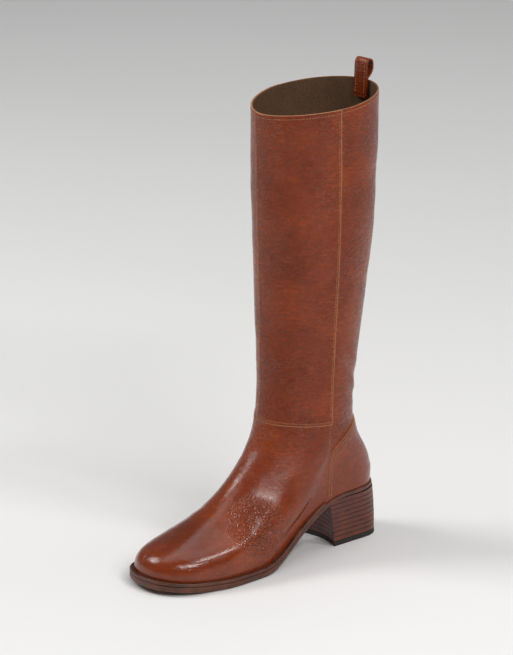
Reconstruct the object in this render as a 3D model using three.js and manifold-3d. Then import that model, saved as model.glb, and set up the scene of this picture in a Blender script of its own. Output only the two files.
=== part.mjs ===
// Left knee-high boot with a low stacked heel and a zip on its inner side, in millimetres.
// +X points to the toe, +Y to the outer (lateral) side, +Z up.
// The origin lies on the floor, in the heel's contact face.
import * as THREE from 'three';
import Module from 'manifold-3d';

const wasm = await Module();
wasm.setup();

// ---------- driving sizes ----------
const HEEL_SEAT = 50; // the upper's lower edge at the heel, above the floor
const BALL_LEVEL = 5.8; // the upper's lower edge at the ball, above the floor
const TOE_SPRING = 4.5; // rise of the lower edge from the ball to the toe tip
const LAST_BACK = -30; // back end of the upper's lower edge
const LAST_TIP = 224; // toe end of the upper's lower edge
const SEAT_END = 18; // where the flat heel seat starts to fall
const BALL_START = 128; // where the fall reaches the ball level
const BALL_END = 160; // where the toe spring starts
const WALL = 2; // upper leather with its lining
const GAP = 0.3; // between pieces that meet

const SOLE_GAP = 0.45; // under the upper's edge, whose flat facets cut its curve
const OUTSOLE_BALL = BALL_LEVEL - SOLE_GAP; // outsole thickness at the ball, down to the floor
const OUTSOLE_WAIST = 4; // outsole thickness at the waist and over the heel
const MARGIN_FORE = 5; // how far the outsole stands out round the forefoot
const MARGIN_HEEL = 2; // and round the heel
const MARGIN_GROWS_FROM = 10; // x where the margin starts to widen
const MARGIN_GROWS_OVER = 100;
const WAIST_END = 70; // x where the outsole starts to thicken to the ball
const SOLE_ROUND = 0.8; // rounding of the outsole's edges
const WELT_HEIGHT = 2.8;
const WELT_BACK = 43; // where the welt's two ends stop, in front of the heel counter
const WELT_LOW_GAP = 0.5; // from the upper at the welt's foot
const WELT_TOP_GAP = 1.2; // and at its top edge, where the upper bulges
const WELT_BEVEL = 0.4; // level width of its outer corner
const WELT_SIDE = 0.75; // share of its height that stands upright
const WELT_RIM = 0.6; // least width of its top
const INSOLE_THICK = 3;
const INSOLE_CLEAR = 0.4; // from the upper's inner face

const HEEL_BACK = -32.5; // contact face of the heel, back and front
const HEEL_FRONT = 27.5;
const HEEL_TOP_BACK = -32; // the heel under the outsole
const HEEL_TOP_LATERAL = 30.6;
const HEEL_TOP_MEDIAL = 29.6;
const HEEL_FOOT_HALF = 28.5; // half width of the contact face
const HEEL_LEAN = 7; // how far the breast leans forward from floor to waist
const BREAST_RADIUS = 70; // hollow of the heel's breast
const BREAST_SIDE = 25; // half width where the breast meets the heel's sides
const LIFT_THICK = 4.5; // rubber top piece

const COUNTER_PROUD = 1.2; // heel counter leather

const ZIP_HALF = 3.4; // half width of the closed coil and tape
const ZIP_PROUD = 0.8;
const SLIDER_LONG = 11;
const SLIDER_HALF = 3.8;
const SLIDER_THICK = 1.6;
const SLIDER_LIFT = 1.75; // slider's back above the leather, clear of the coil
const SLIDER_DROP = 13; // slider's middle below the collar
const PIN_RADIUS = 0.6;
const PIN_RISE = 2.5; // pin above the slider's middle
const EYE_BORE = 0.95; // bore of the tab's eye, 0.35 clear of the pin
const EYE_RADIUS = 1.6;
const EYE_HALF = 1.3; // half length of the eye along the pin
const EAR_THICK = 0.9;
const EAR_LONG = 2.6;
const EAR_ROOT = 0.4; // depth of its root inside the slider's plate
const TAB_LONG = 24; // from the pin to the tab's end
const TAB_HALF = 2.5;
const TAB_THICK = 1.1;
const TAB_NECK = 3; // straight neck below the eye
const TAB_ROOT = 0.45; // depth of the neck inside the eye

const LOOP_HALF = 7.5; // half width of the pull loop's strip
const LOOP_THICK = 1.5;
const LOOP_RISE = 19; // loop above the collar
const LOOP_STEM = 16; // its stem inside the collar
const LOOP_OPEN = 6; // clear gap between its two legs
const LOOP_WAIST = 1.5; // where the legs part, above the collar
const LOOP_LEAN = 3; // how far its bow leans out over the collar
const COLLAR_CURVE = 0.7; // the collar bends this much across the loop's width
const COLLAR_LEAN = 0.04; // and leans back by this angle

// ---------- tables ----------
// Half widths of the upper's lower edge from the heel's back (0) to the toe tip (1).
const OUTLINE_COLUMNS = ['along', 'lateral', 'medial'];
const OUTLINE_ROWS = [
  [0.0, 28, 27],
  [0.16, 29, 28],
  [0.4, 31, 24],
  [0.62, 40, 34],
  [0.74, 41, 38.5],
  [0.88, 34, 39],
  [1.0, 27, 35],
];

// Each ring of the upper is a closed loop through a front point and a back point. Its shape is a
// mix of an oval of the given half width (share 0) and the lower edge's outline (share 1). follow
// is how much of the lower edge's side view it keeps. front_round and back_round are the lengths
// of its rounded ends, and the powers say how square they are.
const RING_COLUMNS = [
  'at', 'front_x', 'front_z', 'back_x', 'back_z', 'follow', 'share',
  'half', 'front_round', 'back_round', 'front_power', 'back_power',
];
const RING_ROWS = [
  [0.0, 224, 10.3, -30, 50, 1.0, 1.0, 36, 34, 34, 2.5, 2.3],
  [0.6, 225.5, 19, -31.5, 56, 1.0, 1.0, 36, 36, 35, 2.5, 2.2],
  [1.2, 221, 28, -32, 62, 0.98, 0.98, 35, 42, 36, 2.4, 2.2],
  [2.0, 206, 35, -31, 68, 0.94, 0.93, 34, 52, 38, 2.2, 2.1],
  [3.0, 183, 42.5, -28.5, 75.5, 0.86, 0.84, 33, 66, 40, 2.1, 2.1],
  [4.0, 158, 53, -24, 84, 0.74, 0.72, 33, 76, 42, 2.0, 2.1],
  [5.0, 135, 66.5, -18.5, 93, 0.58, 0.56, 33, 76, 44, 2.0, 2.1],
  [6.0, 115, 83, -13.5, 103, 0.4, 0.38, 34, 66, 46, 2.0, 2.1],
  [7.0, 98.5, 102, -10.5, 114, 0.2, 0.2, 35, 57, 47, 2.0, 2.0],
  [8.0, 89.5, 125, -8.5, 128, 0.06, 0.07, 36, 50, 48, 2.0, 2.0],
  [9.0, 87, 158, -10.5, 160, 0, 0, 37.5, 50, 50, 2.0, 2.0],
  [10.5, 87, 214, -18, 216, 0, 0, 42, 53, 53, 2.0, 2.0],
  [12.5, 88.5, 282, -26.5, 288, 0, 0, 47.5, 57, 57, 1.95, 2.0],
  [14.5, 90.5, 344, -30, 354, 0, 0, 51, 60, 60, 1.85, 2.0],
  [16.5, 92, 405, -31, 418, 0, 0, 52.5, 63, 63, 1.75, 2.0],
];

// Side view of the heel counter: its edge from the sole up, back and round to the heel.
const COUNTER_COLUMNS = ['x', 'z'];
const COUNTER_ROWS = [
  [41, 20],
  [40.5, 50],
  [39, 70],
  [39.5, 84],
  [36.5, 93],
  [26.5, 100.5],
  [5, 110.5],
  [-12, 117],
  [-60, 130],
];

// ---------- curves and small helpers ----------
const smooth = (t) => t * t * (3 - 2 * t);
const clamp01 = (t) => Math.min(1, Math.max(0, t));
const mix = (a, b, t) => a + (b - a) * t;
const TURN = Math.PI * 2;

// Smooth curve through a table's rows that never overshoots them.
function curveThrough(xs, ys) {
  const last = xs.length - 1;
  const steps = xs.slice(1).map((x, i) => x - xs[i]);
  const slopes = steps.map((step, i) => (ys[i + 1] - ys[i]) / step);
  const tangents = [slopes[0]];
  for (let i = 1; i < last; i += 1) {
    const wa = 2 * steps[i] + steps[i - 1];
    const wb = steps[i] + 2 * steps[i - 1];
    const flat = slopes[i - 1] * slopes[i] <= 0;
    tangents.push(flat ? 0 : (wa + wb) / (wa / slopes[i - 1] + wb / slopes[i]));
  }
  tangents.push(slopes[last - 1]);
  return (x) => {
    let i = 0;
    while (i < last - 1 && x > xs[i + 1]) i += 1;
    const t = clamp01((x - xs[i]) / steps[i]);
    const rise = t * t * (3 - 2 * t);
    const pull = t * (1 - t) * (1 - t) * tangents[i] - t * t * (1 - t) * tangents[i + 1];
    return mix(ys[i], ys[i + 1], rise) + steps[i] * pull;
  };
}

// One curve for each named column of a table, over its first column.
function curvesOf(columns, rows) {
  const xs = rows.map((row) => row[0]);
  const curves = {};
  columns.forEach((name, c) => {
    curves[name] = curveThrough(xs, rows.map((row) => row[c]));
  });
  return curves;
}

const outline = curvesOf(OUTLINE_COLUMNS, OUTLINE_ROWS);
const ring = curvesOf(RING_COLUMNS, RING_ROWS);
const RING_TOP = RING_ROWS[RING_ROWS.length - 1][0];

// Share of the half width at a distance from a rounded end.
function endRound(distance, length, power) {
  const q = 1 - clamp01(distance / length);
  return Math.pow(1 - Math.pow(q, power), 1 / power);
}

// ---------- the last ----------
// Side view of the upper's lower edge: heel seat, fall through the waist, ball, toe spring.
function edgeHeight(x) {
  const fall = smooth(clamp01((x - SEAT_END) / (BALL_START - SEAT_END)));
  const spring = clamp01((x - BALL_END) / (LAST_TIP - BALL_END));
  return mix(HEEL_SEAT, BALL_LEVEL, fall) + TOE_SPRING * spring * spring;
}

// Point of a ring. along: 0 at its back, 1 at its front. side: 1 lateral, -1 medial.
function ringPoint(at, along, side) {
  const frontX = ring.front_x(at);
  const backX = ring.back_x(at);
  const length = frontX - backX;
  const edge = side > 0 ? outline.lateral(along) : outline.medial(along);
  const wide = mix(ring.half(at), edge, ring.share(at));
  const front = endRound((1 - along) * length, ring.front_round(at), ring.front_power(at));
  const back = endRound(along * length, ring.back_round(at), ring.back_power(at));
  const chord = mix(edgeHeight(LAST_BACK), edgeHeight(LAST_TIP), along);
  const dip = chord - edgeHeight(mix(LAST_BACK, LAST_TIP, along));
  const z = mix(ring.back_z(at), ring.front_z(at), along) - ring.follow(at) * dip;
  return new THREE.Vector3(mix(backX, frontX, along), side * wide * front * back, z);
}

// The same ring measured out evenly along its length, so that a place round it is a share of
// each half: 0 front, 0.25 middle of the lateral half, 0.5 back, 0.75 middle of the medial half.
const FINE = 160;
const measured = new Map();
function measuredRing(at) {
  if (!measured.has(at)) {
    const halves = [1, -1].map((side) => {
      const points = [];
      const lengths = [0];
      for (let i = 0; i <= FINE; i += 1) {
        const along = 0.5 + 0.5 * Math.cos((Math.PI * i) / FINE);
        points.push(ringPoint(at, along, side));
        if (i > 0) lengths.push(lengths[i - 1] + points[i].distanceTo(points[i - 1]));
      }
      return { points, lengths };
    });
    measured.set(at, halves);
  }
  return measured.get(at);
}

function surfacePoint(at, around) {
  const place = around - Math.floor(around);
  const lateral = place <= 0.5;
  const half = measuredRing(at)[lateral ? 0 : 1];
  const share = lateral ? place * 2 : (1 - place) * 2;
  const wanted = share * half.lengths[FINE];
  let i = 0;
  while (i < FINE - 1 && half.lengths[i + 1] < wanted) i += 1;
  const t = (wanted - half.lengths[i]) / (half.lengths[i + 1] - half.lengths[i]);
  return new THREE.Vector3().lerpVectors(half.points[i], half.points[i + 1], t);
}

function ringLength(at) {
  const [lateral, medial] = measuredRing(at);
  return lateral.lengths[FINE] + medial.lengths[FINE];
}

// Outward direction of the surface, from points a short step away on all sides.
const RING_STEP = 0.12;
const AROUND_STEP = 0.006;
function surfaceNormal(at, around) {
  const low = Math.max(0, at - RING_STEP);
  const high = Math.min(RING_TOP, at + RING_STEP);
  const up = surfacePoint(high, around).sub(surfacePoint(low, around));
  const ahead = surfacePoint(at, around + AROUND_STEP);
  const round = ahead.sub(surfacePoint(at, around - AROUND_STEP));
  return round.cross(up).normalize();
}

// Point of the surface moved out by an offset. On the lower edge and the collar it moves level.
function offsetPoint(at, around, offset) {
  const normal = surfaceNormal(at, around);
  if (at === 0 || at === RING_TOP) normal.setZ(0).normalize();
  return surfacePoint(at, around).addScaledVector(normal, offset);
}

// Place round a ring where the surface has a given x, on one side.
const HALVINGS = 30;
function placeAt(at, x, side) {
  let front = 0;
  let back = 0.5;
  for (let i = 0; i < HALVINGS; i += 1) {
    const middle = (front + back) / 2;
    if (surfacePoint(at, side > 0 ? middle : 1 - middle).x > x) front = middle;
    else back = middle;
  }
  return side > 0 ? front : 1 - front;
}

// ---------- meshes ----------
function geometryOf(points, faces) {
  const positions = new Float32Array(points.length * 3);
  points.forEach((p, i) => p.toArray(positions, i * 3));
  const geometry = new THREE.BufferGeometry();
  geometry.setAttribute('position', new THREE.BufferAttribute(positions, 3));
  geometry.setIndex(faces.flat());
  return geometry;
}

const quad = (a, b, c, d) => [[a, b, c], [a, c, d]];

// Closed tube of rows: every row is a loop of as many points, and the last row meets the first.
function wrappedRows(rows) {
  const count = rows[0].length;
  const faces = [];
  rows.forEach((row, r) => {
    const here = r * count;
    const next = ((r + 1) % rows.length) * count;
    for (let j = 0; j < count; j += 1) {
      const k = (j + 1) % count;
      faces.push(...quad(here + j, here + k, next + k, next + j));
    }
  });
  return geometryOf(rows.flat(), faces);
}

// Body of stacked loops whose first and last loops are closed by strips across. Point j of a loop
// and point count - j lie at the same place along it, on its two sides.
function stackedLoops(loops) {
  const count = loops[0].length;
  const faces = [];
  for (let r = 0; r < loops.length - 1; r += 1) {
    for (let j = 0; j < count; j += 1) {
      const k = (j + 1) % count;
      faces.push(...quad(r * count + j, r * count + k, (r + 1) * count + k, (r + 1) * count + j));
    }
  }
  const top = (loops.length - 1) * count;
  for (let j = 0; j < count / 2; j += 1) {
    const k = j + 1;
    const across = (n) => (count - n) % count;
    const strip = quad(j, across(j), across(k), k).filter((f) => new Set(f).size === 3);
    strip.forEach(([a, b, c]) => {
      faces.push([a, b, c]);
      faces.push([top + a, top + c, top + b]);
    });
  }
  return geometryOf(loops.flat(), faces);
}

// Strip of rows that are each a closed section, with flat ends.
function cappedRows(rows) {
  const count = rows[0].length;
  const faces = [];
  for (let r = 0; r < rows.length - 1; r += 1) {
    for (let j = 0; j < count; j += 1) {
      const k = (j + 1) % count;
      faces.push(...quad(r * count + j, r * count + k, (r + 1) * count + k, (r + 1) * count + j));
    }
  }
  const last = (rows.length - 1) * count;
  for (let j = 1; j < count - 1; j += 1) {
    faces.push([0, j + 1, j]);
    faces.push([last, last + j, last + j + 1]);
  }
  return geometryOf(rows.flat(), faces);
}

function volumeOf(geometry) {
  const p = geometry.getAttribute('position');
  const index = geometry.getIndex();
  const [a, b, c] = [new THREE.Vector3(), new THREE.Vector3(), new THREE.Vector3()];
  let total = 0;
  for (let i = 0; i < index.count; i += 3) {
    a.fromBufferAttribute(p, index.getX(i));
    b.fromBufferAttribute(p, index.getX(i + 1));
    c.fromBufferAttribute(p, index.getX(i + 2));
    total += a.dot(b.cross(c)) / 6;
  }
  return total;
}

// Turns a body's faces outwards when they point in.
function facingOut(geometry) {
  if (volumeOf(geometry) < 0) {
    const array = geometry.getIndex().array;
    for (let i = 0; i < array.length; i += 3) [array[i], array[i + 1]] = [array[i + 1], array[i]];
  }
  return geometry;
}

// ---------- joining and cutting ----------
function solidOf(geometry) {
  facingOut(geometry);
  const vertProperties = geometry.getAttribute('position').array;
  const triVerts = Uint32Array.from(geometry.getIndex().array);
  return new wasm.Manifold(new wasm.Mesh({ numProp: 3, vertProperties, triVerts }));
}

function geometryFrom(solid) {
  const mesh = solid.getMesh();
  const geometry = new THREE.BufferGeometry();
  geometry.setAttribute('position', new THREE.BufferAttribute(mesh.vertProperties, 3));
  geometry.setIndex(Array.from(mesh.triVerts));
  return geometry;
}

// A three.js primitive with its shared corners merged, so that it can be cut.
function mergedCorners(source) {
  const p = (source.getIndex() ? source.toNonIndexed() : source).getAttribute('position');
  const points = [];
  const known = new Map();
  const index = [];
  for (let i = 0; i < p.count; i += 1) {
    const point = new THREE.Vector3().fromBufferAttribute(p, i);
    const key = point.toArray().map((v) => v.toFixed(4)).join();
    if (!known.has(key)) {
      known.set(key, points.length);
      points.push(point);
    }
    index.push(known.get(key));
  }
  const faces = [];
  for (let i = 0; i < index.length; i += 3) {
    const face = index.slice(i, i + 3);
    if (new Set(face).size === 3) faces.push(face);
  }
  return geometryOf(points, faces);
}

// ---------- the model ----------
const boot = new THREE.Group();

function addPiece(name, geometry, look, parent = boot) {
  const mesh = new THREE.Mesh(facingOut(geometry), new THREE.MeshStandardMaterial(look));
  mesh.name = name;
  parent.add(mesh);
  return mesh;
}

const LEATHER = { color: 0x7a3a22, roughness: 0.42, metalness: 0 };
const EDGE_LEATHER = { color: 0x4a2418, roughness: 0.5, metalness: 0 };
const STACK = { color: 0x5a2c1e, roughness: 0.45, metalness: 0 };
const RUBBER = { color: 0x1c1917, roughness: 0.8, metalness: 0 };
const LINING = { color: 0x9a7350, roughness: 0.8, metalness: 0 };
const METAL = { color: 0x8a7a5c, roughness: 0.35, metalness: 1 };

// ---------- upper ----------
const AROUND = 56;
const FOOT_RINGS = 20; // rings from the lower edge to the ankle
const SHAFT_RINGS = 8; // rings above it
const ANKLE_AT = 9;

function shellRow(at, offset, count = AROUND) {
  return Array.from({ length: count }, (_, j) => offsetPoint(at, j / count, offset));
}

// Hollow band between two offsets of the surface.
function shell(stations, inner, outer) {
  const outside = stations.map((at) => shellRow(at, outer));
  const inside = stations.map((at) => shellRow(at, inner)).reverse();
  return wrappedRows([...outside, ...inside]);
}

const upperStations = [];
for (let i = 0; i < FOOT_RINGS; i += 1) upperStations.push((ANKLE_AT * i) / FOOT_RINGS);
for (let i = 0; i <= SHAFT_RINGS; i += 1) {
  upperStations.push(mix(ANKLE_AT, RING_TOP, i / SHAFT_RINGS));
}
addPiece('upper', shell(upperStations, -WALL, 0), LEATHER);

// ---------- heel counter ----------
const COUNTER_TOP_AT = 8.7; // a ring above the counter's highest point
const COUNTER_REACH = 60; // half width of the cutter, wider than the boot
const counterStations = upperStations.filter((at) => at < COUNTER_TOP_AT);
const counterOutline = new THREE.Shape(
  [[-60, 20], ...COUNTER_ROWS].map(([x, z]) => new THREE.Vector2(x, z)),
);
const counterCutter = new THREE.ExtrudeGeometry(counterOutline, {
  depth: COUNTER_REACH * 2,
  bevelEnabled: false,
});
counterCutter.rotateX(Math.PI / 2).translate(0, COUNTER_REACH, 0);
const counterBand = solidOf(shell(counterStations, GAP, GAP + COUNTER_PROUD));
const counter = counterBand.intersect(solidOf(mergedCorners(counterCutter)));
addPiece('heel_counter', geometryFrom(counter), LEATHER);

// ---------- outsole, welt, insole ----------
const SOLE_AROUND = AROUND * 2;

// Loop of the lower edge, moved out by a margin, at heights that depend on x.
function soleLoop(margin, height, count = SOLE_AROUND) {
  return Array.from({ length: count }, (_, j) => {
    const p = offsetPoint(0, j / count, margin(surfacePoint(0, j / count)));
    return p.setZ(height(p.x));
  });
}

function soleMargin(p) {
  const fore = smooth(clamp01((p.x - MARGIN_GROWS_FROM) / MARGIN_GROWS_OVER));
  return mix(MARGIN_HEEL, MARGIN_FORE, fore);
}

const soleTop = (x) => edgeHeight(x) - SOLE_GAP;
function soleThickness(x) {
  const fore = smooth(clamp01((x - WAIST_END) / (BALL_START - WAIST_END)));
  return mix(OUTSOLE_WAIST, OUTSOLE_BALL, fore);
}
const soleUnder = (x) => soleTop(x) - soleThickness(x);
addPiece('outsole', stackedLoops([
  soleLoop((p) => soleMargin(p) - SOLE_ROUND, soleUnder),
  soleLoop(soleMargin, (x) => soleUnder(x) + SOLE_ROUND),
  soleLoop(soleMargin, (x) => soleTop(x) - SOLE_ROUND / 2),
  soleLoop((p) => soleMargin(p) - SOLE_ROUND / 2, soleTop),
]), EDGE_LEATHER);

// The welt lies on the outsole's margin outside the upper, from waist round the toe to waist.
const WELT_ROWS = 56;
const weltLateral = placeAt(0, WELT_BACK, 1);
const weltMedial = placeAt(0, WELT_BACK, -1) - 1;
const weltRows = Array.from({ length: WELT_ROWS + 1 }, (_, i) => {
  const around = mix(weltLateral, weltMedial, i / WELT_ROWS);
  const foot = surfacePoint(0, around);
  const corner = (margin, rise) => {
    const p = offsetPoint(0, around, margin);
    return p.setZ(edgeHeight(p.x) + rise);
  };
  const out = soleMargin(foot);
  return [
    corner(WELT_LOW_GAP, 0),
    corner(out, 0),
    corner(out, WELT_HEIGHT * WELT_SIDE),
    corner(out - WELT_BEVEL, WELT_HEIGHT),
    corner(Math.min(WELT_TOP_GAP, out - WELT_RIM), WELT_HEIGHT),
  ];
});
addPiece('welt', cappedRows(weltRows), EDGE_LEATHER);

const insoleMargin = () => -WALL - INSOLE_CLEAR;
addPiece('insole', stackedLoops([
  soleLoop(insoleMargin, edgeHeight, AROUND),
  soleLoop(insoleMargin, (x) => edgeHeight(x) + INSOLE_THICK, AROUND),
]), LINING);

// ---------- heel ----------
const HEEL_POINTS = 44; // round each loop of the heel
const HEEL_NOSE = 50; // the loops run on to here before the breast is cut
const HEEL_LEVELS = 4;
// Shape of the heel's loops at the floor and under the outsole.
const HEEL_COLUMNS = ['level', 'back_x', 'lateral', 'medial', 'round', 'power'];
const HEEL_ROWS = [
  [0, HEEL_BACK, HEEL_FOOT_HALF, HEEL_FOOT_HALF, 25, 2.7],
  [1, HEEL_TOP_BACK, HEEL_TOP_LATERAL, HEEL_TOP_MEDIAL, 35, 2.35],
];
const heelShape = curvesOf(HEEL_COLUMNS, HEEL_ROWS);

function heelLoop(level, height) {
  const backX = heelShape.back_x(level);
  return Array.from({ length: HEEL_POINTS }, (_, j) => {
    const turn = (j / HEEL_POINTS) * TURN;
    const along = 0.5 + 0.5 * Math.cos(turn);
    const x = mix(backX, HEEL_NOSE, along);
    const side = j * 2 < HEEL_POINTS ? 1 : -1;
    const wide = side > 0 ? heelShape.lateral(level) : heelShape.medial(level);
    const round = endRound(x - backX, heelShape.round(level), heelShape.power(level));
    const y = j === 0 ? 0 : side * wide * round;
    return new THREE.Vector3(x, y, height(x));
  });
}

function breastCutter() {
  const reach = Math.sqrt(BREAST_RADIUS * BREAST_RADIUS - BREAST_SIDE * BREAST_SIDE);
  const cutter = new THREE.CylinderGeometry(BREAST_RADIUS, BREAST_RADIUS, 240, 96);
  cutter.rotateX(Math.PI / 2);
  cutter.rotateY(Math.atan2(HEEL_LEAN, HEEL_SEAT));
  cutter.translate(HEEL_FRONT + reach, 0, 0);
  return solidOf(mergedCorners(cutter));
}

function heelPiece(name, levels, look) {
  const loops = levels.map(({ level, height }) => heelLoop(level, height));
  const body = solidOf(stackedLoops(loops)).subtract(breastCutter());
  addPiece(name, geometryFrom(body), look);
}

const heelTop = (x) => soleUnder(x) - GAP;
const liftTop = LIFT_THICK + GAP;
const stackLevels = Array.from({ length: HEEL_LEVELS }, (_, i) => {
  const share = i / (HEEL_LEVELS - 1);
  return {
    level: mix(LIFT_THICK / HEEL_SEAT, 1, share * share),
    height: (x) => mix(liftTop, heelTop(x), share),
  };
});
heelPiece('heel_stack', stackLevels, STACK);
heelPiece('heel_top_piece', [
  { level: 0, height: () => 0 },
  { level: LIFT_THICK / HEEL_SEAT, height: () => LIFT_THICK },
], RUBBER);

// ---------- zip ----------
const ZIP_STEPS = 30;
const ZIP_COLUMNS = ['share', 'at', 'x'];
const ZIP_ROWS = [
  [0, 0.6, 52],
  [0.2, 5.5, 45],
  [0.4, 8.8, 41],
  [1, 16.3, 36],
];
const zipRoute = curvesOf(ZIP_COLUMNS, ZIP_ROWS);

// Row of the closed coil and tape: a flat band on the surface, its edges at equal lengths round.
function zipSection(share) {
  const at = zipRoute.at(share);
  const middle = placeAt(at, zipRoute.x(share), -1);
  const reach = ZIP_HALF / ringLength(at);
  const across = [-reach, 0, reach];
  const low = across.map((step) => offsetPoint(at, middle + step, GAP));
  const high = across.map((step) => offsetPoint(at, middle + step, GAP + ZIP_PROUD));
  return [...low, ...high.reverse()];
}
const zipRows = Array.from({ length: ZIP_STEPS + 1 }, (_, i) => zipSection(i / ZIP_STEPS));
addPiece('zip_tape', cappedRows(zipRows), METAL);

// The slider stands upright at the top of the closed zip. Its own directions are X across the
// zip, Y out of the leather and Z up.
const sliderAt = (() => {
  let at = RING_TOP;
  const height = (a) => surfacePoint(a, placeAt(a, zipRoute.x(1), -1)).z;
  const wanted = height(RING_TOP) - SLIDER_DROP;
  while (height(at) > wanted) at -= 0.01;
  return at;
})();
const sliderPlace = placeAt(sliderAt, zipRoute.x(1), -1);
const sliderOut = surfaceNormal(sliderAt, sliderPlace).setZ(0).normalize();
const zipGroup = new THREE.Group();
zipGroup.position.copy(offsetPoint(sliderAt, sliderPlace, 0)).addScaledVector(sliderOut, SLIDER_LIFT);
zipGroup.rotation.z = Math.atan2(sliderOut.y, sliderOut.x) - Math.PI / 2;
boot.add(zipGroup);

const PIN_OUT = SLIDER_THICK + EYE_RADIUS + GAP; // pin's middle above the slider's back
const EAR_HALF = EYE_HALF + GAP + EAR_THICK; // outer faces of the two ears

function cylinderAcross(radius, half, sides = 20) {
  const bar = new THREE.CylinderGeometry(radius, radius, half * 2, sides);
  return solidOf(mergedCorners(bar.rotateZ(Math.PI / 2).translate(0, PIN_OUT, PIN_RISE)));
}

// Plate whose outline lies in X and Z, standing between two levels of Y.
function plateSolid(shape, low, high) {
  const plate = new THREE.ExtrudeGeometry(shape, {
    depth: high - low,
    bevelEnabled: false,
    curveSegments: 8,
  });
  return solidOf(mergedCorners(plate.rotateX(Math.PI / 2).translate(0, high, 0)));
}

// Narrow at its foot, where the closed coil leaves it, and widest near its round top.
function sliderShape() {
  const wide = SLIDER_HALF;
  const end = SLIDER_LONG / 2;
  const foot = wide * 0.55;
  const waist = { x: wide * 0.75, y: -end * 0.2 };
  const shoulder = end * 0.25;
  const crown = wide * 0.45;
  const shape = new THREE.Shape();
  shape.moveTo(-foot, -end);
  shape.lineTo(foot, -end);
  shape.quadraticCurveTo(waist.x, waist.y, wide, shoulder);
  shape.quadraticCurveTo(wide, end, crown, end);
  shape.lineTo(-crown, end);
  shape.quadraticCurveTo(-wide, end, -wide, shoulder);
  shape.quadraticCurveTo(-waist.x, waist.y, -foot, -end);
  return shape;
}

// Ear of the bridge: it starts inside the slider's plate and holds the pin's end.
function earSolid(side) {
  const from = EAR_ROOT;
  const to = PIN_OUT + PIN_RADIUS * 2;
  const ear = new THREE.BoxGeometry(EAR_THICK, to - from, EAR_LONG);
  ear.translate(side * (EAR_HALF - EAR_THICK / 2), (from + to) / 2, PIN_RISE);
  return solidOf(mergedCorners(ear));
}

const slider = plateSolid(sliderShape(), 0, SLIDER_THICK)
  .add(earSolid(1))
  .add(earSolid(-1))
  .add(cylinderAcross(PIN_RADIUS, EAR_HALF - EAR_THICK / 2));
addPiece('zip_slider', geometryFrom(slider), METAL, zipGroup);

// A drop with a straight neck that runs into the eye.
function tabShape() {
  const end = PIN_RISE - TAB_LONG;
  const root = PIN_RISE - EYE_RADIUS + TAB_ROOT;
  const neck = PIN_RISE - EYE_RADIUS - TAB_NECK;
  const hip = { x: TAB_HALF * 0.8, y: neck - TAB_NECK / 2 };
  const round = end + TAB_HALF;
  const shape = new THREE.Shape();
  shape.moveTo(-EYE_HALF, root);
  shape.lineTo(-EYE_HALF, neck);
  shape.quadraticCurveTo(-hip.x, hip.y, -TAB_HALF, round);
  shape.quadraticCurveTo(-TAB_HALF, end, 0, end);
  shape.quadraticCurveTo(TAB_HALF, end, TAB_HALF, round);
  shape.quadraticCurveTo(hip.x, hip.y, EYE_HALF, neck);
  shape.lineTo(EYE_HALF, root);
  return shape;
}

const tab = plateSolid(tabShape(), PIN_OUT - TAB_THICK / 2, PIN_OUT + TAB_THICK / 2)
  .add(cylinderAcross(EYE_RADIUS, EYE_HALF))
  .subtract(cylinderAcross(EYE_BORE, EYE_HALF * 2));
addPiece('zip_pull_tab', geometryFrom(tab), METAL, zipGroup);

// ---------- pull loop ----------
// Folded strip in side view: X inwards from the collar's wall, Y up from the collar.
function loopShape() {
  const thick = LOOP_THICK * 2;
  const middle = thick / 2;
  const bow = middle - LOOP_LEAN;
  const belly = LOOP_RISE * 0.62; // the bow is widest here
  const neck = LOOP_RISE * 0.3;
  const outside = (LOOP_OPEN + thick) / 2;
  const inside = LOOP_OPEN / 2;
  const inTop = LOOP_RISE - LOOP_THICK;
  const foot = LOOP_WAIST + 1;
  const shape = new THREE.Shape();
  shape.moveTo(0, -LOOP_STEM);
  shape.lineTo(0, LOOP_WAIST);
  shape.quadraticCurveTo(bow - outside, neck, bow - outside, belly);
  shape.quadraticCurveTo(bow - outside, LOOP_RISE, bow, LOOP_RISE);
  shape.quadraticCurveTo(bow + outside, LOOP_RISE, bow + outside, belly);
  shape.quadraticCurveTo(bow + outside, neck, thick, LOOP_WAIST);
  shape.lineTo(thick, -LOOP_STEM);
  const hole = new THREE.Path();
  hole.moveTo(middle, foot);
  hole.quadraticCurveTo(bow + inside, neck + 1, bow + inside, belly);
  hole.quadraticCurveTo(bow + inside, inTop, bow, inTop);
  hole.quadraticCurveTo(bow - inside, inTop, bow - inside, belly);
  hole.quadraticCurveTo(bow - inside, neck + 1, middle, foot);
  shape.holes.push(hole);
  return shape;
}

const collarBack = surfacePoint(RING_TOP, 0.5);
const loopStrip = new THREE.ExtrudeGeometry(loopShape(), {
  depth: LOOP_HALF * 2,
  bevelEnabled: false,
  curveSegments: 8,
});
loopStrip.rotateX(Math.PI / 2).translate(0, LOOP_HALF, 0);
const pullLoop = addPiece('pull_loop', mergedCorners(loopStrip), LEATHER);
pullLoop.rotation.y = -COLLAR_LEAN;
pullLoop.position.set(collarBack.x + WALL + GAP + COLLAR_CURVE, 0, collarBack.z);

export default boot;
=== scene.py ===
# %% [markdown]
# # A knee-high boot in brown leather
# This lesson dresses a plain, exact boot in what a maker would sew and stack onto it. The loaded frame
# gives the sizes: a hollow upper, a heel counter, an outsole with a welt, a stacked heel, a zip and a
# pull loop. Here each of them gets its soft creases, its panels, its stitches and its finish.
# +X points to the toe, +Y to the outer side of the left foot and +Z up. Lengths are in metres, and
# the sizes a maker would quote are given in millimetres times MM.

import math

import bpy
import numpy as np
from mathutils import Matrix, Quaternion, Vector, noise
from mathutils.bvhtree import BVHTree


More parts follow.
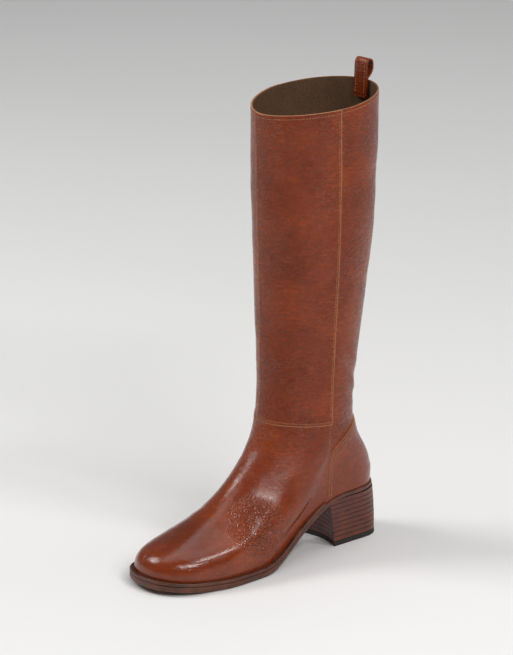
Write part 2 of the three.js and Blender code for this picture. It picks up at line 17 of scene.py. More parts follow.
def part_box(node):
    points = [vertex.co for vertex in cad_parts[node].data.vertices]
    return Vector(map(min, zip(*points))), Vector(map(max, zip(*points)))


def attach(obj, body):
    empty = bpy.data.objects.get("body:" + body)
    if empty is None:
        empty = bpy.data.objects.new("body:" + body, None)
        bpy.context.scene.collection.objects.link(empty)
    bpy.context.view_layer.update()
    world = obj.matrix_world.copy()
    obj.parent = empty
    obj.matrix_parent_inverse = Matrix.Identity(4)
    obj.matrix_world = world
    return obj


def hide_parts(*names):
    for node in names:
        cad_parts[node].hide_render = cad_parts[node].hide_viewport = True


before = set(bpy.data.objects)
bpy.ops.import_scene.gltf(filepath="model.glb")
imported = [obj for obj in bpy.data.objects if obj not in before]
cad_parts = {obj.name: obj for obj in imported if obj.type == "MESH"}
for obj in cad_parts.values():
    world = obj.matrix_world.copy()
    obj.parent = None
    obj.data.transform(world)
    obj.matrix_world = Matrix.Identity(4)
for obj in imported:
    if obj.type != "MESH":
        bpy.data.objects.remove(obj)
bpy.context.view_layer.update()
MM = 0.001

# %% [markdown]
# ## The camera
# A long lens from about three metres keeps the boot's sides nearly parallel. The camera stands in
# front of the toe and to the outer side, well above the collar. It turns a little past the boot's
# middle, so that the toe has room, and no lens shift is needed.

# %% Set up the camera
CAMERA_TURN = math.radians(47.2)  # from +X towards +Y
CAMERA_RISE = math.radians(16.9)
CAMERA_AWAY = 3.137
LENS = 193.7

boot_middle = Vector((0.030, 0.0, 0.2))
aim = Vector((0.067, -0.034, 0.2))
toward_camera = Vector((
    math.cos(CAMERA_RISE) * math.cos(CAMERA_TURN),
    math.cos(CAMERA_RISE) * math.sin(CAMERA_TURN),
    math.sin(CAMERA_RISE),
))
camera = bpy.data.objects.new("studio_camera", bpy.data.cameras.new("studio_camera"))
bpy.context.scene.collection.objects.link(camera)
camera.data.lens = LENS
camera.location = boot_middle + toward_camera * CAMERA_AWAY
camera.rotation_mode = "QUATERNION"
camera.rotation_quaternion = (camera.location - aim).to_track_quat("Z", "Y")
bpy.context.scene.camera = camera
print("camera stands", round(camera.location.z, 2), "m high")

# %% [markdown]
# ## Working by hand, in code
# Blender's operators act on whatever is selected, so these helpers select one piece, or some of its
# faces by their place, and nothing else. A frame node is a heap of loose triangles: its copy is merged
# first, and the node itself stays untouched.

# %% Helpers for picking pieces and faces
def make_active(piece):
    if bpy.context.mode != "OBJECT":
        bpy.ops.object.mode_set(mode="OBJECT")
    bpy.ops.object.select_all(action="DESELECT")
    piece.select_set(True)
    bpy.context.view_layer.objects.active = piece


def select_where(piece, kind, wanted):
    """Opens a piece for editing with only the wanted vertices, edges or polygons selected."""
    make_active(piece)
    mesh = piece.data
    for group in (mesh.vertices, mesh.edges, mesh.polygons):
        group.foreach_set("select", [False] * len(group))
    flags = [bool(wanted(item)) for item in getattr(mesh, kind)]
    getattr(mesh, kind).foreach_set("select", flags)
    kinds = ("vertices", "edges", "polygons")
    bpy.context.tool_settings.mesh_select_mode = [kind == k for k in kinds]
    bpy.ops.object.mode_set(mode="EDIT")
    return sum(flags)


def open_whole(piece):
    make_active(piece)
    bpy.ops.object.mode_set(mode="EDIT")
    bpy.ops.mesh.select_all(action="SELECT")


def close_piece():
    bpy.ops.object.mode_set(mode="OBJECT")


def finish_with(piece, kind, **settings):
    """Adds a modifier and applies it."""
    make_active(piece)
    modifier = piece.modifiers.new(kind.lower(), kind)
    for name, value in settings.items():
        setattr(modifier, name, value)
    bpy.ops.object.modifier_apply(modifier=modifier.name)


def smooth_over(piece, degrees=40):
    make_active(piece)
    bpy.ops.object.shade_smooth_by_angle(angle=math.radians(degrees))


def copied(source, name):
    piece = bpy.data.objects.new(name, source.data.copy())
    piece.data.name = name
    bpy.context.scene.collection.objects.link(piece)
    return piece


def merged_copy(node, name):
    """A copy of a frame node with its loose triangles joined into quads."""
    piece = copied(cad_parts[node], name)
    piece.data.materials.clear()
    open_whole(piece)
    bpy.ops.mesh.remove_doubles(threshold=0.002 * MM)
    bpy.ops.mesh.customdata_custom_splitnormals_clear()
    bpy.ops.mesh.tris_convert_to_quads(
        face_threshold=math.radians(80), shape_threshold=math.radians(160), topology_influence=1.5
    )
    close_piece()
    return piece


def cut_away(piece, point, outward):
    """Cuts a piece along a plane and drops the side that outward points to."""
    open_whole(piece)
    bpy.ops.mesh.bisect(plane_co=point, plane_no=outward, clear_outer=True)
    close_piece()


print("helpers ready")

# %% [markdown]
# ## The outer skin
# A cordwainer pulls the leather over a last, and the panels all lie on that one form. So one fine
# sheet is made first: the outer face of the hollow upper, refined until a soft crease can bend it.
# The wall's two faces meet only in the narrow rims at the collar and at the sole. With the rims
# deleted, the sheet falls into an outer and an inner part, and the wider one is kept.

# %% Peel the outer face off the upper
upper_low, upper_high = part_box("upper")
RIM_SLOPE = 0.6  # a rim face points up or down by at least this much
RIM_WIDE = 2.4 * MM  # a rim is only as wide as the wall
RIM_NEAR_TOP = 20 * MM


def is_wall_rim(face):
    corners = [skin.data.vertices[v].co for v in face.vertices]
    narrow = min((a - b).length for a, b in zip(corners, corners[1:] + corners[:1])) < RIM_WIDE
    at_end = face.normal.z < 0 or face.center.z > upper_high.z - RIM_NEAR_TOP
    return narrow and at_end and abs(face.normal.z) > RIM_SLOPE


skin = merged_copy("upper", "outer_skin")
rim_faces = select_where(skin, "polygons", is_wall_rim)
bpy.ops.mesh.delete(type="FACE")
bpy.ops.mesh.select_all(action="SELECT")
bpy.ops.mesh.separate(type="LOOSE")
close_piece()
walls = [piece for piece in bpy.context.selected_objects if piece.name.startswith("outer_skin")]
walls.sort(key=lambda piece: piece.dimensions.y)
skin = walls.pop()
for inner_wall in walls:
    bpy.data.objects.remove(inner_wall)
skin.name = "outer_skin"
left_over = sum(len(face.vertices) == 3 for face in skin.data.polygons)
print(rim_faces, "rim faces gone,", len(skin.data.polygons), "faces kept,", left_over, "of them triangles")

# %% [markdown]
# The shaft's rings stand far apart, and a crease needs close ones. Its long upright edges are each
# divided, which adds whole rings, and two levels of subdivision then round the sheet off.

# %% Refine the skin
FINE_FROM = 157 * MM  # the shaft's long rings start here
NEARLY_UPRIGHT = 0.9
SHAFT_CUTS = 3
SKIN_LEVELS = 2


def is_long_and_upright(edge):
    a, b = (skin.data.vertices[v].co for v in edge.vertices)
    return min(a.z, b.z) > FINE_FROM and abs(a.z - b.z) > NEARLY_UPRIGHT * (a - b).length


upright = select_where(skin, "edges", is_long_and_upright)
bpy.ops.mesh.subdivide(number_cuts=SHAFT_CUTS)
bpy.ops.mesh.select_all(action="SELECT")
bpy.ops.mesh.normals_make_consistent(inside=False)
close_piece()
finish_with(skin, "SUBSURF", levels=SKIN_LEVELS, render_levels=SKIN_LEVELS)
print(upright, "edges divided, skin of", len(skin.data.polygons), "faces")

# %% [markdown]
# ## Creases
# A worn boot keeps the marks of walking: folds over the instep, wrinkles where the forefoot bends and
# a slouch behind the ankle. Each is placed as a path on the boot, with a width and a depth.
# Its section is a soft trough with a low ridge on both sides, and it fades out at both ends. Broad,
# shallow paths make the slow waves of the shaft. A little noise keeps every line from being ruled.

# %% Place the creases
CREASES = (  # width, depth and path in millimetres, x forward, y outward, z up
    # over the instep, where the foot bends
    (6, 0.7, ((58, 40, 112), (80, 31, 104), (99, 8, 101), (97, -14, 104))),
    (6, 0.45, ((70, 38, 94), (92, 30, 90), (108, 10, 90), (110, -8, 88))),
    (5, 0.6, ((66, -34, 96), (84, -30, 90), (100, -20, 88))),
    (4, 0.5, ((48, 38, 96), (56, 38, 88), (70, 39, 82))),
    # across the vamp, where the toes bend
    (5, 0.25, ((118, 41, 44), (128, 34, 58), (136, 20, 66))),
    (5, 0.3, ((132, 40, 34), (142, 32, 50), (150, 16, 57), (152, -6, 57))),
    (5, 0.25, ((146, 42, 28), (153, 34, 42), (162, 18, 50), (164, 0, 51))),
    (4, 0.35, ((134, -34, 34), (143, -28, 50), (150, -14, 57))),
    (4, 0.25, ((122, -36, 38), (130, -31, 52), (138, -20, 62))),
    # behind the ankle, where the shaft slouches on the heel cup
    (5, 1.1, ((-11, 10, 150), (-1, 27, 158), (16, 35, 172), (30, 38, 184))),
    (4, 0.8, ((-9, 8, 134), (2, 27, 138), (18, 32, 146))),
    (5, 1.0, ((-11, -8, 154), (0, -28, 160), (18, -36, 170))),
    (4, 0.7, ((-9, -8, 136), (4, -28, 138), (20, -32, 142))),
    # slow waves of the shaft
    (13, 0.9, ((40, 48, 205), (66, 44, 198), (88, 16, 206), (88, -14, 214))),
    (15, 0.8, ((48, 52, 262), (74, 44, 252), (90, 12, 256))),
    (12, 0.7, ((84, 30, 330), (68, 50, 322), (40, 54, 330))),
    (10, 0.6, ((88, 20, 372), (66, 50, 378), (44, 54, 372))),
    (16, 0.9, ((-18, 36, 230), (4, 46, 262), (14, 52, 300))),
    (14, 0.7, ((-30, 24, 330), (-14, 46, 352), (10, 54, 380))),
    (15, 0.8, ((-18, -34, 240), (6, -46, 268), (22, -50, 300))),
    (14, 0.7, ((86, -26, 180), (64, -42, 196), (46, -44, 220))),
    (13, 0.6, ((84, -34, 300), (62, -48, 316), (44, -52, 340))),
)
CREASE_WAVER = 1.6 * MM  # how far noise bends a crease
RIDGE_SHARE = 0.4
SWELL = 0.35 * MM  # slow unevenness of the whole skin


def bent_path(corners, steps=6):
    """A smooth line through the corners."""
    line = []
    padded = [corners[0], *corners, corners[-1]]
    for before, a, b, after in zip(padded, padded[1:], padded[2:], padded[3:]):
        for i in range(steps):
            t = i / steps
            line.append(0.5 * (2 * a + (b - before) * t
                               + (2 * before - 5 * a + 4 * b - after) * t ** 2
                               + (3 * a - before - 3 * b + after) * t ** 3))
    return np.array([*line, corners[-1]])


def near_path(points, path):
    """Distance of each point to the path, and its share along it."""
    nearest = np.full(len(points), np.inf)
    share = np.zeros(len(points))
    for i, (a, b) in enumerate(zip(path[:-1], path[1:])):
        step = b - a
        along = np.clip((points - a) @ step / (step @ step), 0, 1)
        distance = np.linalg.norm(points - a - along[:, None] * step, axis=1)
        closer = distance < nearest
        nearest[closer] = distance[closer]
        share[closer] = (i + along[closer]) / (len(path) - 1)
    return nearest, share


def noise_at(points, wave, seed):
    shift = Vector((seed * 7.3, seed * 3.1, seed * 5.7))
    return np.array([noise.noise(Vector(p) / wave + shift) for p in points])


def vertex_values(piece, name):
    values = np.zeros(len(piece.data.vertices) * 3)
    source = piece.data.vertices if name == "co" else piece.data.vertex_normals
    source.foreach_get("co" if name == "co" else "vector", values)
    return values.reshape(-1, 3)


places = vertex_values(skin, "co")
outward = vertex_values(skin, "normal")
waver = np.stack([noise_at(places, 16 * MM, seed) for seed in (1, 2, 3)], axis=1) * CREASE_WAVER
height = SWELL * noise_at(places, 38 * MM, 4) + 0.5 * SWELL * noise_at(places, 15 * MM, 5)
for width, depth, path in CREASES:
    line = bent_path(np.array(path) * MM)
    distance, share = near_path(places + waver, line)
    across = distance / (width * MM)
    fade = np.sin(np.pi * share) ** 0.7
    ridges = RIDGE_SHARE * np.exp(-((across - 2) / 0.8) ** 2)
    height += depth * MM * fade * (ridges - np.exp(-across ** 2))
collar_calm = np.clip((upper_high.z - 14 * MM - places[:, 2]) / (30 * MM), 0, 1)
edge_calm = np.clip((places[:, 2] - upper_low.z) / (20 * MM), 0, 1)
height *= collar_calm * edge_calm
skin.data.vertices.foreach_set("co", (places + outward * height[:, None]).ravel())
skin.data.update()
print(len(CREASES), "creases, from", round(height.min() / MM, 2), "to", round(height.max() / MM, 2), "mm")

# %% [markdown]
# ## Leather
# The leather is a waxed calf: warm mid brown, a little darker on the burnished top of the toe, with a
# fine pebble, long thin wrinkles across the shaft and a lively crinkle where the forefoot bends. The
# foot is smoother and glossier than the shaft, most of all at the toe. The pattern is worked out from
# the place on the boot, so it never slides. Height goes to the bump, and a small part of it darkens
# the colour in the low places of the pebble and the wrinkles: painted shade.

# %% Node helpers
def new_material(name):
    material = bpy.data.materials.new(name)
    material.use_nodes = True
    return material, material.node_tree, material.node_tree.nodes["Principled BSDF"]


def add_node(tree, kind, inputs=(), **settings):
    made = tree.nodes.new("ShaderNode" + kind)
    for name, value in settings.items():
        setattr(made, name, value)
    for socket, value in dict(inputs).items():
        if isinstance(value, bpy.types.NodeSocket):
            tree.links.new(value, made.inputs[socket])
        else:
            made.inputs[socket].default_value = value
    return made


def stretched(tree, place, scale):
    return add_node(tree, "Mapping", {"Vector": place, "Scale": scale}).outputs["Vector"]


def noise_of(tree, place, scale, detail=3.0, roughness=0.5, distortion=0.0):
    sizes = {"Vector": place, "Scale": scale, "Detail": detail, "Roughness": roughness}
    return add_node(tree, "TexNoise", {**sizes, "Distortion": distortion}).outputs["Fac"]


def ranged(tree, value, low, high, to_low=0.0, to_high=1.0):
    sizes = {"Value": value, "From Min": low, "From Max": high, "To Min": to_low, "To Max": to_high}
    return add_node(tree, "MapRange", sizes, interpolation_type="SMOOTHSTEP").outputs["Result"]


def maths(tree, operation, a, b):
    return add_node(tree, "Math", {0: a, 1: b}, operation=operation).outputs["Value"]


def mixed(tree, share, a, b):
    made = add_node(tree, "Mix", {0: share}, data_type="RGBA")
    for socket, value in ((6, a), (7, b)):
        if isinstance(value, bpy.types.NodeSocket):
            tree.links.new(value, made.inputs[socket])
        else:
            made.inputs[socket].default_value = value
    return made.outputs[2]


def tint(red, green, blue):
    """A colour given as it looks, 0 to 255, turned into light."""
    def to_light(v):
        return v / 255 / 12.92 if v <= 10 else ((v / 255 + 0.055) / 1.055) ** 2.4
    return (to_light(red), to_light(green), to_light(blue), 1.0)


print("node helpers ready")

# %% Mix the boot leather
BEND_MIDDLE = Vector((0.127, 0.036, 0.046))  # the crinkled patch on the outer side of the ball
BEND_REACH = 36 * MM
TOE_MIDDLE = Vector((0.188, 0.0, 0.055))  # the burnished top of the toe
LEATHER_ROUGH = 0.27
GRAIN_DEEP = 0.1 * MM
FOLD_DEEP = 0.7 * MM
CRINKLE_DEEP = 0.9 * MM


def distance_from(tree, place, middle):
    made = add_node(tree, "VectorMath", {0: place, 1: middle}, operation="DISTANCE")
    return made.outputs["Value"]


def leather(name, light, mid, dark):
    material, tree, shader = new_material(name)
    place = add_node(tree, "TexCoord").outputs["Object"]
    level = add_node(tree, "SeparateXYZ", {0: place}).outputs["Z"]

    pebble = add_node(tree, "TexVoronoi", {"Vector": place, "Scale": 620.0}, feature="SMOOTH_F1")
    pebble_high = pebble.outputs["Distance"]
    fine = noise_of(tree, place, 1700.0, 2.0)
    across = noise_of(tree, stretched(tree, place, (130.0, 130.0, 430.0)), 1.0, 4.0, 0.7, 0.8)
    across_where = ranged(tree, noise_of(tree, place, 30.0, 3.0), 0.4, 0.62, 0.35, 1.0)
    on_shaft = ranged(tree, level, 60 * MM, 130 * MM, 0.08, 1.0)
    folds = maths(tree, "MULTIPLY", ranged(tree, across, 0.32, 0.68),
                  maths(tree, "MULTIPLY", across_where, on_shaft))

    cells = add_node(tree, "TexVoronoi", {
        "Vector": stretched(tree, place, (1.0, 1.3, 1.5)), "Scale": 330.0,
    }, feature="DISTANCE_TO_EDGE")
    valley_high = ranged(tree, cells.outputs["Distance"], 0.0, 0.3)
    bend = ranged(tree, distance_from(tree, place, BEND_MIDDLE), BEND_REACH, BEND_REACH * 0.25)
    crinkle_high = maths(tree, "MULTIPLY", valley_high, bend)

    patches = noise_of(tree, place, 22.0, 3.0)
    mottle = noise_of(tree, place, 190.0, 4.0, 0.6)
    tone = mixed(tree, ranged(tree, patches, 0.36, 0.66), mid, light)
    tone = mixed(tree, ranged(tree, mottle, 0.46, 0.72, 0.0, 0.2), tone, dark)
    # painted shade: darker where the wrinkle pattern runs low, in its valleys
    tone = mixed(tree, ranged(tree, across, 0.42, 0.62, 0.3, 0.0), tone, dark)
    # painted shade: darker in the low places of the pebble
    low = ranged(tree, pebble_high, 0.1, 0.75, 0.22, 0.0)
    tone = mixed(tree, low, tone, dark)
    toe = ranged(tree, distance_from(tree, place, TOE_MIDDLE), 0.05, 0.012, 0.0, 0.6)
    tone = mixed(tree, toe, tone, dark)
    tree.links.new(tone, shader.inputs["Base Color"])

    rough = ranged(tree, mottle, 0.3, 0.75, LEATHER_ROUGH - 0.05, LEATHER_ROUGH + 0.09)
    polish = ranged(tree, distance_from(tree, place, TOE_MIDDLE), 0.09, 0.05, 0.0, 0.09)
    tree.links.new(maths(tree, "SUBTRACT", rough, polish), shader.inputs["Roughness"])
    tree.links.new(ranged(tree, on_shaft, 0.08, 1.0, 0.44, 0.26), shader.inputs["Specular IOR Level"])
    shader.inputs["Coat Weight"].default_value = 0.14
    shader.inputs["Coat Roughness"].default_value = 0.16

    grain = maths(tree, "ADD", pebble_high, maths(tree, "MULTIPLY", fine, 0.5))
    bumps = ((grain, GRAIN_DEEP), (folds, FOLD_DEEP), (crinkle_high, CRINKLE_DEEP))
    normal = None
    for high, distance in bumps:
        sizes = {"Strength": 1.0, "Distance": distance, "Height": high}
        if normal is not None:
            sizes["Normal"] = normal
        normal = add_node(tree, "Bump", sizes).outputs["Normal"]
    tree.links.new(normal, shader.inputs["Normal"])
    return material


boot_leather = leather("boot_leather", tint(154, 64, 20), tint(136, 52, 14), tint(80, 30, 8))
print("materials:", boot_leather.name)

# %% [markdown]
# A cut edge shows the leather's own pale fibre, and the lining is a soft suede-like split. Both are
# matt, with a short nap.

# %% Mix the cut edge, the lining and the thread
def fibre(name, light, dark, scale, roughness=0.85, depth=0.08 * MM):
    material, tree, shader = new_material(name)
    place = add_node(tree, "TexCoord").outputs["Object"]
    nap = noise_of(tree, place, scale, 5.0, 0.65)
    cloud = noise_of(tree, place, scale * 0.06, 2.0)
    tone = mixed(tree, ranged(tree, nap, 0.3, 0.7), dark, light)
    tone = mixed(tree, ranged(tree, cloud, 0.35, 0.7, 0.0, 0.4), tone, dark)
    tree.links.new(tone, shader.inputs["Base Color"])
    tree.links.new(ranged(tree, nap, 0.3, 0.7, roughness, roughness - 0.12), shader.inputs["Roughness"])
    sizes = {"Strength": 1.0, "Distance": depth, "Height": nap}
    tree.links.new(add_node(tree, "Bump", sizes).outputs["Normal"], shader.inputs["Normal"])
    return material


# the pale cut-edge colour also paints a highlight strip along some seams
cut_edge_and_painted_highlight = fibre("cut_edge_and_painted_highlight", tint(200, 142, 98), tint(150, 94, 58), 1500.0)
lining_suede = fibre("lining_suede", tint(112, 80, 52), tint(74, 50, 32), 900.0)
thread_tan = fibre("thread_tan", tint(198, 146, 102), tint(150, 98, 62), 2600.0, 0.7)
print("materials:", cut_edge_and_painted_highlight.name, lining_suede.name, thread_tan.name)

# %% [markdown]
# ## Upper and lining
# The upper leather is 1 mm thick and keeps the skin's outer face. The lining lies against it inside.
# Solidify gives a sheet its thickness, and its rim takes the cut edge as a second material. A small
# bevel takes the knife-sharp corner off.

# %% Make the upper leather and its lining
UPPER_THICK = 1.0 * MM
LINING_THICK = 0.8 * MM
BETWEEN = 0.05 * MM


def moved_along_normals(piece, distance):
    points = vertex_values(piece, "co") + vertex_values(piece, "normal") * distance
    piece.data.vertices.foreach_set("co", points.ravel())
    piece.data.update()


def thickened(piece, thick, side, edge_round, finishes):
    """Gives a sheet its thickness. side is 1 for outwards, -1 for inwards."""
    for finish in finishes:
        piece.data.materials.append(finish)
    finish_with(piece, "SOLIDIFY", thickness=thick, offset=side, use_even_offset=True,
                material_offset_rim=len(finishes) - 1)
    finish_with(piece, "BEVEL", width=edge_round, segments=2, limit_method="ANGLE",
                angle_limit=math.radians(50))
    smooth_over(piece, 50)
    return piece


upper_leather = thickened(copied(skin, "upper_leather"), UPPER_THICK, -1, 0.25 * MM,
                          (boot_leather, cut_edge_and_painted_highlight))
lining = copied(skin, "lining")
moved_along_normals(lining, -UPPER_THICK - BETWEEN)
thickened(lining, LINING_THICK, -1, 0.2 * MM, (lining_suede,))
for sheet in (upper_leather, lining):
    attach(sheet, "boot")
print("upper leather", len(upper_leather.data.polygons), "faces, lining", len(lining.data.polygons))

# %% [markdown]
# ## Panels
# The panels that lie on the upper are cut out of the same skin, so they share its creases. Each cut
# is a plane: a seam seen from the side is nearly straight. A panel sinks a touch into the leather
# below, so no light passes under it, and its rim shows the pale cut edge. Along some seams a narrow
# strip on top is pale too: a painted highlight of the rounded edge.

# %% Seams and the panels between them
FRONT_SEAM_Y = -9 * MM
ZIP_SIDE_LINE = ((51.5, 50), (45, 93), (41, 128), (36, 405))  # middle of the zip, from the side
ZIP_CLEAR = 3.9  # from the zip's middle to the leather on both sides
LATERAL_SEAM = ((40, 126), (44, 405))
LATERAL_VAMP_SEAM = ((39, 120), (92, 125))
MEDIAL_VAMP_SEAM = ((40, 141), (92, 124))
SUNK = 0.1 * MM
PAINTED_HIGHLIGHT_WIDE = 0.7 * MM  # this much of an edge's top is pale, as painted highlight
PANEL_ROUND = 0.22 * MM
FRONT_PANEL_THICK = 1.3 * MM
INNER_PANEL_THICK = 0.4 * MM
VAMP_THICK = 0.9 * MM
UNDER_SEAM = 3  # how far the vamp runs on under the front panel

# places in the side view that tell a cut which side stays
IN_FRONT = (120, 200)
BEHIND = (-120, 200)
ABOVE_VAMP = (60, 300)
BELOW_VAMP = (60, 0)
IN_HEEL = (0, 60)


def side_plane(low, high, keep):
    """A plane through two points of a side view. keep is a point on the side that stays."""
    a, b = Vector((low[0], 0, low[1])), Vector((high[0], 0, high[1]))
    normal = Vector((b.z - a.z, 0, a.x - b.x)).normalized()
    if normal.dot(Vector((keep[0], 0, keep[1])) - a) > 0:
        normal.negate()
    return a * MM, normal


def shifted(line, dx=0.0, dz=0.0):
    return tuple((x + dx, z + dz) for x, z in line)


def panel(name, cuts, thick, painted_highlight_cuts=()):
    """A panel of the skin inside all the cuts, standing proud by its thickness.
    painted_highlight_cuts picks the cuts that get a narrow pale strip on top: a painted highlight."""
    piece = copied(skin, name)
    for point, normal in cuts:
        cut_away(piece, point, normal)
    # a narrow strip on top along these cuts takes the pale cut-edge colour: painted highlight
    for point, normal in (cuts[i] for i in painted_highlight_cuts):
        open_whole(piece)
        bpy.ops.mesh.bisect(plane_co=point - normal * PAINTED_HIGHLIGHT_WIDE, plane_no=normal)
        close_piece()
        for face in piece.data.polygons:
            if (face.center - point).dot(normal) > -PAINTED_HIGHLIGHT_WIDE:
                face.material_index = 1
    moved_along_normals(piece, -SUNK)
    return thickened(piece, thick + SUNK, 1, PANEL_ROUND, (boot_leather, cut_edge_and_painted_highlight))


def joined(name, pieces):
    make_active(pieces[0])
    for piece in pieces:
        piece.select_set(True)
    bpy.ops.object.join()
    pieces[0].name = name
    return pieces[0]


outer_half = (Vector((0, FRONT_SEAM_Y, 0)), Vector((0, -1, 0)))
inner_half = (Vector((0, FRONT_SEAM_Y, 0)), Vector((0, 1, 0)))

front_panel = panel("front_panel", [
    outer_half,
    side_plane(*LATERAL_SEAM, keep=IN_FRONT),
    side_plane(*LATERAL_VAMP_SEAM, keep=ABOVE_VAMP),
], FRONT_PANEL_THICK, painted_highlight_cuts=(0, 1, 2))

ahead_of_zip = [
    side_plane(low, high, keep=IN_FRONT)
    for low, high in zip(shifted(ZIP_SIDE_LINE, ZIP_CLEAR), shifted(ZIP_SIDE_LINE[1:], ZIP_CLEAR))
]
inner_panel = panel("inner_panel", [
    inner_half,
    *ahead_of_zip,
    side_plane(*shifted(MEDIAL_VAMP_SEAM, dz=-UNDER_SEAM), keep=ABOVE_VAMP),
], INNER_PANEL_THICK)

vamp = joined("vamp", [
    panel("vamp_outer", [
        outer_half,
        side_plane((39.5, 0), (39.5, 100), keep=IN_FRONT),
        side_plane(*shifted(LATERAL_VAMP_SEAM, dz=UNDER_SEAM), keep=BELOW_VAMP),
    ], VAMP_THICK),
    panel("vamp_inner", [
        inner_half,
        *ahead_of_zip,
        side_plane(*MEDIAL_VAMP_SEAM, keep=BELOW_VAMP),
    ], VAMP_THICK),
])
print("panels:", [(p.name, len(p.data.polygons)) for p in (front_panel, inner_panel, vamp)])

# %% [markdown]
# The heel counter is the boot's stiffest overlay, so it stands out most. Its top is a line of short
# straight cuts. The zip needs strips that follow a bent line: each straight stretch of the strip is
# cut between two levels, and the stretches are joined where they meet.

# %% Heel counter, zip band and zip tape
COUNTER_FRONT = 40.3
COUNTER_TOP = ((COUNTER_FRONT, 86), (36.5, 93), (26.5, 100.5), (5, 110.5), (-12, 117), (-34, 125))
COUNTER_THICK = 1.1 * MM
BAND_WIDE = 9
BAND_THICK = 0.8 * MM
TAPE_HALF = 3.4
TAPE_THICK = 0.4 * MM
STRIP_ROUND = 0.15 * MM

counter = panel("counter", [
    side_plane((COUNTER_FRONT, 0), (COUNTER_FRONT, 80), keep=IN_HEEL),
    *(side_plane(a, b, keep=IN_HEEL) for a, b in zip(COUNTER_TOP, COUNTER_TOP[1:])),
], COUNTER_THICK)


def strip_along(name, line, behind, ahead, thick, finishes):
    """A strip of the inner side between two distances from a line of the side view."""
    stretches = []
    ends = [(line[0][0], line[0][1] - 30), *line[1:-1], (line[-1][0], line[-1][1] + 30)]
    for low, high in zip(ends, ends[1:]):
        piece = copied(skin, name)
        cuts = [
            (Vector((0, FRONT_SEAM_Y, 0)), Vector((0, 1, 0))),
            (Vector((0, 0, low[1])) * MM, Vector((0, 0, -1))),
            (Vector((0, 0, high[1])) * MM, Vector((0, 0, 1))),
            side_plane(*shifted((low, high), behind), keep=IN_FRONT),
            side_plane(*shifted((low, high), ahead), keep=BEHIND),
        ]
        for point, normal in cuts:
            cut_away(piece, point, normal)
        stretches.append(piece)
    strip = joined(name, stretches)
    open_whole(strip)
    bpy.ops.mesh.remove_doubles(threshold=0.02 * MM)
    close_piece()
    moved_along_normals(strip, -SUNK)
    return thickened(strip, thick + SUNK, 1, STRIP_ROUND, finishes)


zip_band = strip_along("zip_band", ZIP_SIDE_LINE, -ZIP_CLEAR - BAND_WIDE, -ZIP_CLEAR, BAND_THICK,
                       (boot_leather, cut_edge_and_painted_highlight))
tape_cloth = fibre("tape_cloth", tint(78, 52, 38), tint(48, 30, 22), 2200.0, 0.9)
zip_cloth = strip_along("zip_cloth", ZIP_SIDE_LINE, -TAPE_HALF, TAPE_HALF, TAPE_THICK, (tape_cloth,))
leather_panels = (front_panel, inner_panel, vamp, counter, zip_band)
for piece in leather_panels:
    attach(piece, "boot")
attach(zip_cloth, "boot")
print("counter", len(counter.data.polygons), "band", len(zip_band.data.polygons))

# %% [markdown]
# ## Stitches
# A lockstitch shows as a row of short, plump bars whose ends dive into the leather. One bar is shaped
# once from a small sphere: stretched, with its ends bent down. A row is a set of rays shot at the
# boot. Where they land, bars are set along the row at an even pitch, each with its own mesh part, and
# every row of a seam goes into one object.

# %% Shape one stitch and learn to sew
STITCH_PITCH = 2.7 * MM
STITCH_LONG = 2.1 * MM
STITCH_THICK = 0.65 * MM
RAY_START = 0.4
RAY_STEP = 0.8  # in millimetres
LEG_AXIS_X = 30  # an upright axis inside the shaft, in millimetres
LEG_RADIUS = 58
LEG_STEP = 0.3  # in degrees


def shaped_bar(name, bend):
    """A small plump bar along X, one unit long and thick, with its ends bent down."""
    bpy.ops.object.select_all(action="DESELECT")
    bpy.ops.mesh.primitive_uv_sphere_add(segments=8, ring_count=5, radius=0.5,
                                         rotation=(0, math.pi / 2, 0))
    bar = bpy.context.object
    bar.name = name
    bpy.ops.object.transform_apply(location=False, rotation=True, scale=False)
    open_whole(bar)
    bpy.ops.transform.resize(value=(1.15, 1, 1))
    close_piece()
    for vertex in bar.data.vertices:
        vertex.co.x = max(-0.5, min(0.5, vertex.co.x))
        vertex.co.z -= bend * vertex.co.x ** 2
    corners = vertex_values(bar, "co")
    faces = [list(face.vertices) for face in bar.data.polygons]
    bpy.data.objects.remove(bar)
    return corners, faces


def tree_of(pieces):
    corners, faces = [], []
    for piece in pieces:
        start = len(corners)
        corners += [v.co.copy() for v in piece.data.vertices]
        faces += [[start + v for v in face.vertices] for face in piece.data.polygons]
    return BVHTree.FromPolygons(corners, faces)


def from_side(line, side, step=RAY_STEP):
    """Rays at a line of the side view. side is 1 on the outer side, -1 on the inner side."""
    rays = []
    for (xa, za), (xb, zb) in zip(line, line[1:]):
        count = max(2, int(math.hypot(xb - xa, zb - za) / step))
        for i in range(count):
            t = i / count
            x, z = xa + (xb - xa) * t, za + (zb - za) * t
            rays.append((Vector((x * MM, side * RAY_START, z * MM)), Vector((0, -side, 0))))
    return rays


def along_x(y, low, high, way):
    """Rays at an upright line seen from the front (way -1) or from behind (way 1)."""
    heights = np.arange(low, high, RAY_STEP) * MM
    return [(Vector((-way * RAY_START, y * MM, z)), Vector((way, 0, 0))) for z in heights]


def round_leg(tree, height_at, start, end):
    """Rays round the leg's axis at a height that depends on where they land, found in a few tries."""
    rays = []
    for angle in np.radians(np.arange(start, end, LEG_STEP)):
        away = Vector((math.cos(angle), math.sin(angle), 0))
        x = LEG_AXIS_X + LEG_RADIUS * away.x
        for _ in range(4):
            origin = Vector((LEG_AXIS_X * MM, 0, height_at(x) * MM)) + away * RAY_START
            hit = tree.ray_cast(origin, -away)[0]
            x = hit.x / MM
        rays.append((origin, -away))
    return rays


